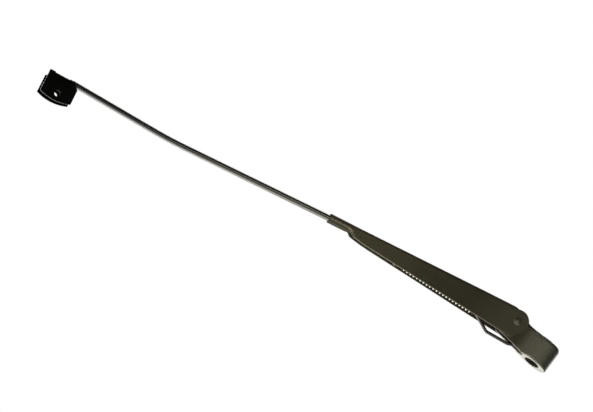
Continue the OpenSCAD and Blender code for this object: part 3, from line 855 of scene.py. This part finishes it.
def u_points(x):
    wide, low = half_width(x), flange_edge(x)
    shoulder = WEB_TOP - FOLD_R
    top = ear_top(x) if x < WEB_START else WEB_TOP
    above = low + RIM
    points = [(wide, low)] + [
        (wide, above + (min(shoulder, top) - above) * i / (FLANGE_STEPS - 1))
        for i in range(FLANGE_STEPS - 1)
    ]
    if x < WEB_START:
        last = math.asin(min(max((top - shoulder) / FOLD_R, 0), 1))
        points += [fold_point(wide, last * i / EAR_ROWS) for i in range(EAR_ROWS + 1)]
        if top < shoulder:
            points[FLANGE_STEPS:] = [(wide, top)] * (EAR_ROWS + 1)
        return points + [points[-1]] * (FOLD_STEPS - EAR_ROWS + WEB_STEPS - 1)
    points += [
        fold_point(wide, math.pi / 2 * i / FOLD_STEPS) for i in range(FOLD_STEPS + 1)
    ]
    return points + [
        ((wide - FOLD_R) * (1 - i / WEB_STEPS), WEB_TOP) for i in range(1, WEB_STEPS)
    ]


print("half a section has", len(u_points(80)), "points")

# %% The ferrule, and how the sheet rolls into it
FERRULE_END, FERRULE_Z, FERRULE_R = 172.3, 7.3, 3.9
NEAR_TURN, FAR_TURN = 142.0, 214.0
ROLL_START, ROLL_END, ROLL_EASE = 150.5, 156.0, 1.3
ROLL_LAG, NEAR_LEAD = 0.8, 1.5


def ring_points(count):
    """The ferrule's section, from the seam round to the seam, with as many points."""
    half = (count - 1) // 2
    turns = [90 - NEAR_TURN * (1 - i / half) for i in range(half + 1)]
    turns += [90 + FAR_TURN * i / half for i in range(1, half + 1)]
    return [
        (FERRULE_R * math.cos(math.radians(t)),
         FERRULE_Z + FERRULE_R * math.sin(math.radians(t)))
        for t in turns
    ]


def roll(x, late):
    """How far the sheet has turned from the U, 0, into the ferrule, 1."""
    t = min(max((x - ROLL_START - late) / (ROLL_END - ROLL_START), 0), 1)
    return t ** ROLL_EASE


print("ferrule", 2 * FERRULE_R, "mm across")


# %% The painted highlight that runs from the ferrule into the fold
CREASE = (
    (147, 2.2, 0.0), (148, 2.7, 0.2), (150, 3.6, 0.3), (152, 5.1, 1.2), (154, 6.0, 1.1),
    (156, 6.8, 0.6), (158, 7.3, 0.5), (173, 7.3, 0.5),
)
CREASE_WIDTH = 0.75


def crease(x):
    """Its height above the hinge and its strength."""
    for (x0, z0, s0), (x1, z1, s1) in zip(CREASE, CREASE[1:]):
        if x0 <= x <= x1:
            t = (x - x0) / (x1 - x0)
            return z0 + (z1 - z0) * t, s0 + (s1 - s0) * t
    return 0.0, 0.0


print("crease from", CREASE[0][0], "to", CREASE[-1][0], "mm")

# %% The section at any station
# Painted highlights on the near flange's lower edge and on the ferrule's seam. Painted
# shade on the rolled sheet below a height and along the far seam edge.
RIM_SHINE, FERRULE_SHINE = 0.14, 0.35
RIM_FADES_IN, RIM_SHINES = 4, 12
PAINTED_SHADE_BELOW = 5.6


def section(x):
    """The section's points, and a mark for each: painted highlight above 0, painted shade
    below 0.
    """
    half = u_points(min(x, ROLL_START + 5))
    whole = half + [(0.0, WEB_TOP)] + [(-y, z) for y, z in reversed(half)]
    last = len(whole) - 1
    height, strength = crease(x)
    places, marks = [], []
    for i, ((y, z), (ry, rz)) in enumerate(zip(whole, ring_points(len(whole)))):
        late = ROLL_LAG * min(min(i, last - i) / (FLANGE_STEPS / 2), 1)
        t = roll(x, late - NEAR_LEAD * (1 - i / last))
        place = Vector((x, y * (1 - t) + ry * t, z * (1 - t) + rz * t))
        mark = 0.0
        if place.y > 0:
            mark = strength * math.exp(-((place.z - height) / CREASE_WIDTH) ** 2)
        if i == 0:
            rim = (x - RIM_FADES_IN) / (RIM_SHINES - RIM_FADES_IN)
            mark = RIM_SHINE * min(max(rim, 0), 1) + FERRULE_SHINE * t
        elif place.z < PAINTED_SHADE_BELOW:
            mark -= t
        if i == last:
            mark = -1
        places.append(place)
        marks.append(mark)
    return places, marks


print("a section has", len(section(80)[0]), "points")

# %% Stations along the channel, close together where it changes
EAR_ANGLES = (8, 16, 25, 35, 47, 60, 72, 80, 90)
ROLLED = ROLL_END + ROLL_LAG
stations = [-EAR_R * math.cos(math.radians(a)) for a in EAR_ANGLES]
stations += [0.6, 1.4, STEP_START, 4.0, WEB_START - 0.01, WEB_START, 14, 24, 34, 40]
stations += [60, 80, 100, 120, 132, 138, 142, 145, 147]
stations += [ROLL_START - 2 + (ROLLED - ROLL_START + 2) * i / 22 for i in range(23)]
stations += [FERRULE_END]
print(len(stations), "stations from", round(stations[0], 1), "to", stations[-1], "mm")

# %% Extrude the sheet, and leave it open between the ears
bm = bmesh.new()
painted_light = bm.verts.layers.float.new("painted_light")
chain = [bm.verts.new(p) for p in section(stations[0])[0]]
edges = [bm.edges.new(pair) for pair in zip(chain, chain[1:])]
between_ears = set()
for x in stations[1:]:
    verts, edges = grow(bm, edges)
    fresh = set(verts)
    follow = {
        old: edge.other_vert(old)
        for old in chain for edge in old.link_edges if edge.other_vert(old) in fresh
    }
    chain = [follow[old] for old in chain]
    for vert, place, mark in zip(chain, *section(x)):
        vert.co = place
        vert[painted_light] = mark
    if x <= WEB_START:
        row = FLANGE_STEPS + EAR_ROWS
        middle = chain[row:-row]
        between_ears |= {
            f for v in middle for f in v.link_faces
            if sum(w in middle for w in f.verts) == 2
        }
bmesh.ops.delete(bm, geom=list(between_ears), context="FACES")
bmesh.ops.remove_doubles(bm, verts=bm.verts, dist=0.001)
channel = finish_piece(
    bm, "folded_channel", ARM, "arm", channel_black, ["arm_channel"], 50
)
wall = channel.modifiers.new("sheet", "SOLIDIFY")
wall.thickness = SHEET * MM
wall.offset = -1
wall.use_even_offset = True
soften(channel, "sheared_edges", 0.25, 2, 50)

# %% [markdown]
# ## The rod
# A 5 mm rod is pushed into the ferrule. Its inner end is beaten flat and drilled, so that
# the spring hooks on it, and its outer end is beaten flat for the bracket. A curve with a
# round bevel would give the rod too, but not its flat ends. So a ring is swept along its
# line, and the rings at each end are then squashed as a press would do it.

# %% The rod's line
ROD_R, ROD_START = 2.5, 162.0
ROD_FALL, ROD_RUN = 0.8, 126.7
MOUTH_BEND_R, BEND_R = 60, 370
fall = math.radians(ROD_FALL)
set_point = Vector((
    FERRULE_END + MOUTH_BEND_R * math.sin(fall), 0,
    FERRULE_Z + MOUTH_BEND_R * (math.cos(fall) - 1),
))
bend_start = set_point + ROD_RUN * Vector((math.cos(fall), 0, -math.sin(fall)))
bend_middle = bend_start + BEND_R * Vector((math.sin(fall), 0, math.cos(fall)))
flat_root = Vector((ROD_START - 8, 0, FERRULE_Z))
to_blade = ARM.inverted() @ BLADE
to_bracket = ARM.inverted() @ BRACKET
FLAT_ENDS = (0, 1.0, 2.0, 3.0, 8.0, 12.5, 14.2, 15.3, 16.0)
rod_path = [EYE.lerp(flat_root, t) for t in (0.0, 0.1, 0.3, 0.5, 0.7, 0.9, 1.0)]
rod_path += [Vector((ROD_START - x, 0, FERRULE_Z)) for x in (6, 4, 2, 0)]
rod_path += [Vector((FERRULE_END, 0, FERRULE_Z)), set_point]
rod_path += arc(
    (bend_middle.x, bend_middle.z), BEND_R, -90 - ROD_FALL, -90 + BLADE_KICK, 10
)
rod_path += [to_blade @ Vector((x, 0, 0)) for x in (30, 80, FLAT_START - 1)]
flat_first = len(rod_path)
rod_path += [to_bracket @ Vector((FLAT_START + x, 0, 0)) for x in FLAT_ENDS]
bm = bmesh.new()
rings = sweep(bm, rod_path, ROD_R, 32)
length = sum((b - a).length for a, b in zip(rod_path, rod_path[1:]))
print("rod of", round(length), "mm in", len(rings), "rings")

# %% Beat the inner end flat: one height and one width for each ring
TALL = (1.25, 1.2, 1.1, 1.0, 0.85, 0.72, 0.68, 0.72, 0.8, 0.92)
THIN = (0.52, 0.52, 0.52, 0.52, 0.52, 0.52, 0.56, 0.66, 0.8, 0.92)
for ring, point, up, across in zip(rings, rod_path, TALL, THIN):
    bmesh.ops.scale(
        bm, verts=ring, space=Matrix.Translation(-point), vec=(1, across, up)
    )
print("inner end", round(2 * ROD_R * THIN[0], 1), "mm thick")

# %% Beat the outer end flat: its rings get wide and low, and close to a round tip
WIDEN, FLATTEN, SINK = 0.52, 0.6, 1.8
PINCH = (1, 1, 1, 1, 1, 0.97, 0.86, 0.62, 0.25)
bracket_space = to_bracket.inverted()
for ring, along, narrow in zip(rings[flat_first:], FLAT_ENDS, PINCH):
    flat = min(1.0, along / 3)
    bmesh.ops.scale(
        bm, verts=ring, space=bracket_space,
        vec=(1, (1 + WIDEN * flat) * narrow, 1 - FLATTEN * flat),
    )
    bmesh.ops.translate(bm, verts=ring, space=bracket_space, vec=(0, 0, -SINK * flat))
rod = finish_piece(bm, "bent_rod", ARM, "arm", rod_gloss, ["wiper_rod"])

# %% The eye at the rod's inner end: a small profile, spun round the hole
EYE_HOLE_R, EYE_R, HALF_EYE_T = 1.6, 3.8, 1.3
NEAR = 1e-4
corners = (
    (EYE_HOLE_R, -HALF_EYE_T), (EYE_R, -HALF_EYE_T), (EYE_R, HALF_EYE_T),
    (EYE_HOLE_R, HALF_EYE_T),
)
bm = bmesh.new()
bm.faces.new([bm.verts.new((EYE.x + r, y, EYE.z)) for r, y in corners])
bmesh.ops.spin(
    bm, geom=bm.verts[:] + bm.edges[:] + bm.faces[:], cent=EYE, axis=(0, 1, 0),
    angle=2 * math.pi, steps=40, use_merge=True,
)
bmesh.ops.remove_doubles(bm, verts=bm.verts, dist=0.001)
# The spin leaves its profile inside the ring at each step. Here the first one goes.
middles = {f: f.calc_center_median() for f in bm.faces}
first = [f for f, c in middles.items() if abs(c.z - EYE.z) < NEAR and c.x > EYE.x]
bmesh.ops.delete(bm, geom=first, context="FACES_ONLY")
eye = finish_piece(bm, "rod_eye", ARM, "arm", wire_black)
soften(eye, "soft_edges", 0.4, 3)

# %% [markdown]
# ## Link and spring
# The spring pulls the blade onto the glass. Its coil is closely wound, and a bowed wire
# link carries its pull round under the hinge to a pin in the neck. A Screw modifier could
# wind the coil, but not its hooks, so both wires are swept along their own lines. The
# spring grows 3.6 mm longer as the arm is lifted. So its first turns move with the link,
# and one more turn of theirs, a little thinner, lies hidden inside the rest of the coil
# and comes out as the spring stretches.

# %% The link
LINK_LEN, LINK_R = 42.7, 1.35
PIN_R, WIRE_R, SLACK = 2, 0.9, 0.06
BOW_R = 4
PIN_HOOK_TIP, END_HOOK_TURN = 35, 205
pin_hook, end_hook = PIN_R + LINK_R + SLACK, WIRE_R + LINK_R + SLACK
low_a, low_b = Vector((11.3, 0, -8.3)), Vector((31.2, 0, -9.2))
end = Vector((LINK_LEN, 0, 0))
leave = math.atan2(low_a.z, low_a.x) - math.acos(pin_hook / low_a.length)
toward = low_b - end
meet = math.atan2(toward.z, toward.x) + math.acos(end_hook / toward.length)
off = pin_hook * Vector((math.cos(leave), 0, math.sin(leave)))
on = end + end_hook * Vector((math.cos(meet), 0, math.sin(meet)))
leave, meet = math.degrees(leave), math.degrees(meet)
link_path = arc((0, 0), pin_hook, PIN_HOOK_TIP - 360, leave, 28)
link_path += round_corner(off, low_a, low_b, BOW_R, 8)
link_path += round_corner(low_a, low_b, on, BOW_R, 8)
link_path += arc((LINK_LEN, 0), end_hook, meet, meet + END_HOOK_TURN, 26)
bm = bmesh.new()
sweep(bm, link_path, LINK_R, 20)
link = finish_piece(bm, "bowed_link", PULL, "link", wire_black, ["spring_link"], 50)

# %% The spring's own lines
COIL_R, TURNS, STEPS = 2.7, 21.5, 26
LOOP_GAP = 0.45
CROSSING = 0.55 * COIL_R
coil_start = LINK_LEN + 2 * COIL_R + LOOP_GAP
coil_end = pull.length - 2 * COIL_R - LOOP_GAP


def coil_point(turn):
    a = 2 * math.pi * turn
    x = coil_start + (coil_end - coil_start) * turn / TURNS
    return Vector((x, COIL_R * math.cos(a), COIL_R * math.sin(a)))


def loop_point(centre, side, degrees):
    a = math.radians(degrees)
    return Vector((centre - side * COIL_R * math.cos(a), COIL_R * math.sin(a), 0))


print("coil", round(coil_end - coil_start, 1), "mm long, wound", TURNS, "times")

# %% The spring's hook end, with its hidden turn
SPLIT = 3
HIDDEN_TURN = 0.86
near_path = [loop_point(LINK_LEN + COIL_R, 1, a) for a in range(-140, 101, 10)]
near_path += [Vector((coil_start - CROSSING, COIL_R, 0.05))]
near_path += [coil_point(i / STEPS) for i in range(2, (SPLIT + 1) * STEPS)]
bm = bmesh.new()
rings = sweep(bm, near_path, WIRE_R, 10)
for ring, point in list(zip(rings, near_path))[-STEPS:]:
    bmesh.ops.scale(
        bm, verts=ring, space=Matrix.Translation(-point), vec=(HIDDEN_TURN,) * 3
    )
spring_hook = finish_piece(bm, "spring_hook_end", PULL, "link", spring_steel, (), 60)

# %% The rest of the spring
end_side = math.cos(2 * math.pi * TURNS)
far_path = [coil_point(i / STEPS) for i in range(SPLIT * STEPS, int(TURNS * STEPS) - 1)]
far_path += [Vector((coil_end + CROSSING, COIL_R * end_side, -0.05 * end_side))]
far_path += [
    loop_point(pull.length - COIL_R, -1, a * end_side) for a in range(100, -141, -10)
]
bm = bmesh.new()
sweep(bm, far_path, WIRE_R, 10)
spring = finish_piece(
    bm, "coil_spring", PULL, "spring", spring_steel, ["tension_spring"], 60
)

# %% [markdown]
# ## The blade bracket
# The bracket is a saddle: two walls joined by a narrow back, riveted on the rod's flat
# end. Its walls are sheared plates, which the CAD already has in their true form. So the
# same rounded copies do here, with a fine bevel that catches the light on each edge.

# %% Bracket and its rivets
bracket = rounded_copy("blade_bracket", "saddle_bracket", "arm", bracket_black, 0.22)
small = rounded_copy("bracket_rivets", "saddle_rivets", "arm", bracket_black, 0.2)
